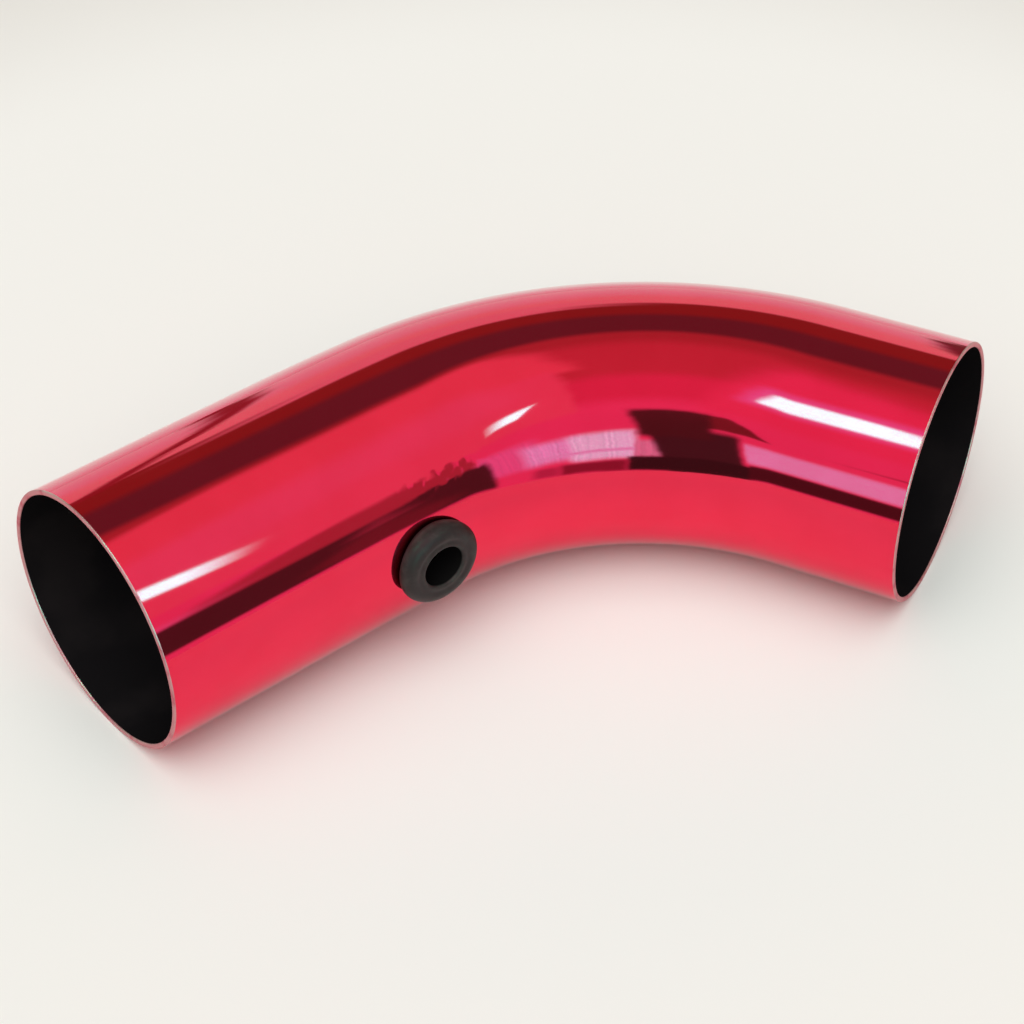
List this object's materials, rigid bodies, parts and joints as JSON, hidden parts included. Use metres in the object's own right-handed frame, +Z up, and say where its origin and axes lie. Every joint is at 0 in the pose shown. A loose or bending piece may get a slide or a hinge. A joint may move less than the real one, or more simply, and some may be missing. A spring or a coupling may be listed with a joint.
{
  "type": "cold air intake pipe",
  "caption": "Bent thin-walled air intake pipe with a polished red outside, plain round ends for clamped hose couplers and a rubber grommet in a drilled hole for a push-in sensor.",
  "frame": {"origin": "middle of the box round the pipe as it lies on its side, on the surface that it lies on", "axes": "+Z up, square to the plane of the bend; +X along the long leg from its mouth towards the bend; the tube bends towards -Y, so the grommet faces -Y"},
  "size_m": [0.2496, 0.1554, 0.076],
  "materials": {
    "red_tube": "polished under a clear red lacquer, with bare cut edges and a black inside",
    "black_rubber": "satin moulded rubber"
  },
  "bodies": {
    "root": {"intake_pipe": "red_tube", "sensor_grommet": "black_rubber"}
  },
  "joints": []
}
